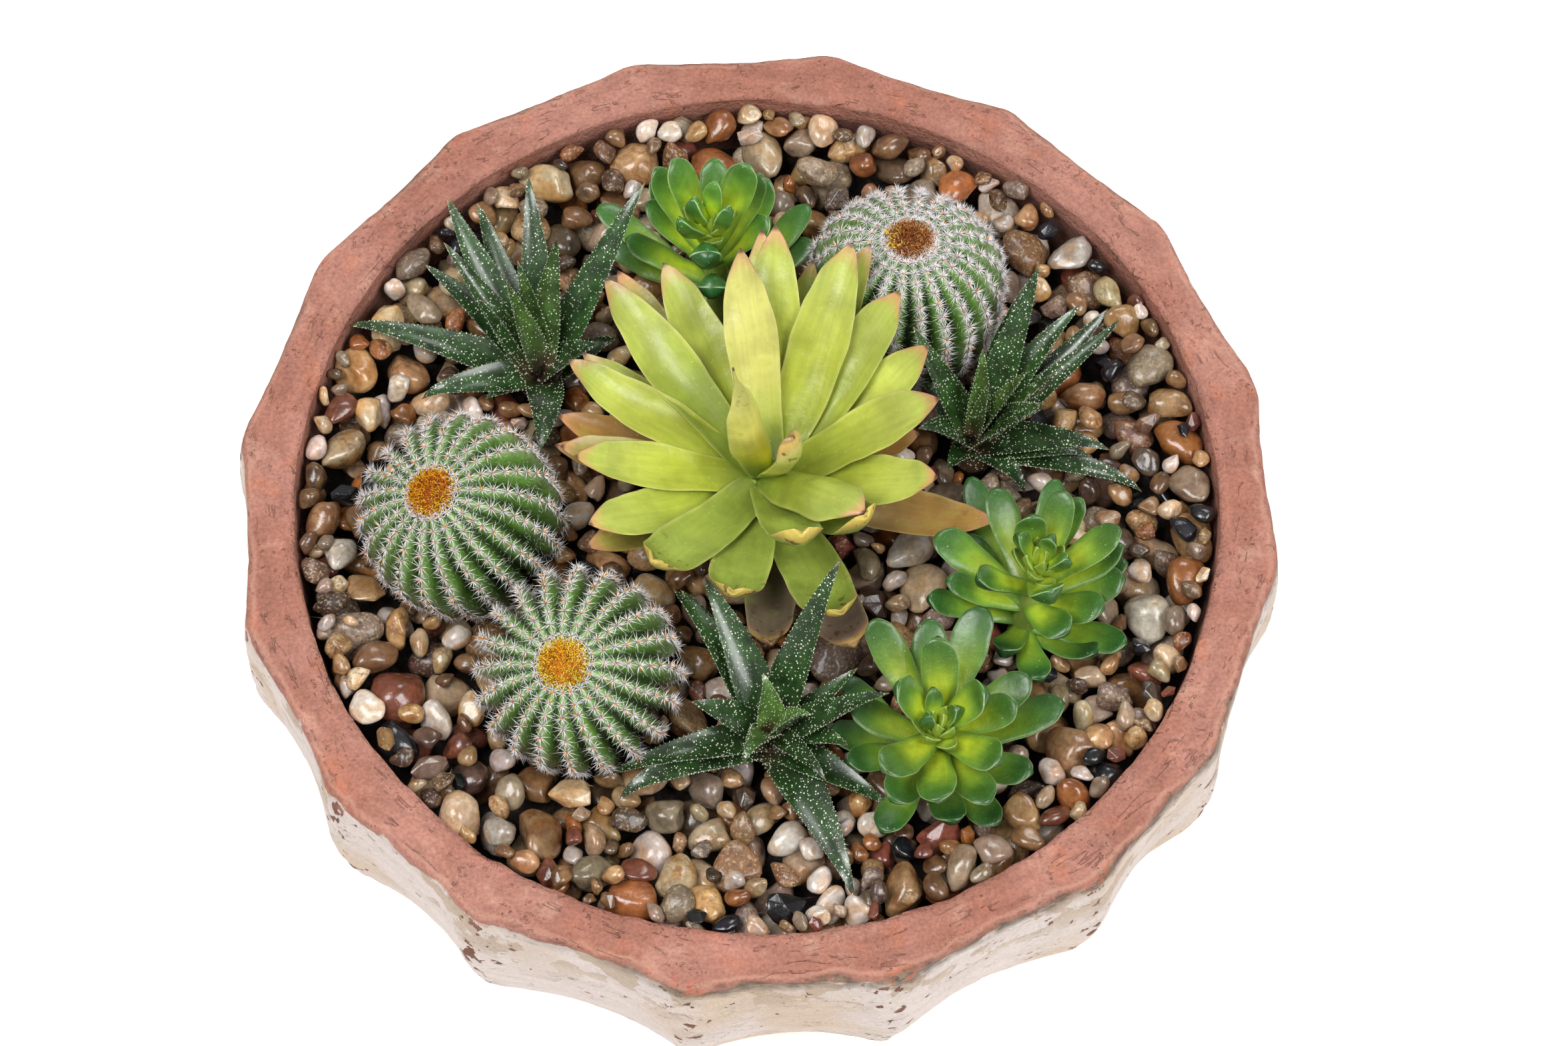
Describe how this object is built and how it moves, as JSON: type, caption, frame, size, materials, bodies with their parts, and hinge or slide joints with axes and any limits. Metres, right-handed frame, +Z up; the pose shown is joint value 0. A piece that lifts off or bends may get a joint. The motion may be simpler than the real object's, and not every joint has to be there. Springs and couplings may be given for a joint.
{
  "type": "potted succulent arrangement",
  "caption": "Low fluted terracotta bowl planted with a golden rosette, spotted haworthias, finger-leaved sedums and ribbed barrel cacti, top-dressed with river pebbles.",
  "frame": {"origin": "middle of the bowl's flat base", "axes": "+Z up; -Y is the front, the side that the picture is taken from"},
  "size_m": [0.3445, 0.3442, 0.1801],
  "materials": {
    "limewashed_terracotta": "rough bare terracotta rim and inside, worn off-white limewash outside",
    "potting_soil": "dark crumbly peat and bark",
    "river_pebbles": "smooth waxed pebbles in tan, brown, grey, white and black",
    "golden_leaf": "satin yellow-green leaf with orange tips",
    "spotted_leaf": "dark green leaf with raised cream dots",
    "finger_leaf": "glossy plump leaf, lime in the middle and darker at the tip",
    "cactus_skin": "mid-green ribs with fine white hairs",
    "cactus_wool": "orange-brown wool and young spines"
  },
  "bodies": {
    "root": {"bowl": "limewashed_terracotta", "potting_soil": "potting_soil", "pebble_layer": "river_pebbles", "golden_rosette": "golden_leaf", "haworthia_left": "spotted_leaf", "haworthia_right": "spotted_leaf", "haworthia_front": "spotted_leaf", "finger_sedum_back": "finger_leaf", "finger_sedum_right": "finger_leaf", "finger_sedum_front": "finger_leaf", "barrel_cactus_left": "cactus_skin", "wool_crown_left": "cactus_wool", "barrel_cactus_front": "cactus_skin", "wool_crown_front": "cactus_wool", "barrel_cactus_back": "cactus_skin", "wool_crown_back": "cactus_wool"}
  },
  "joints": []
}
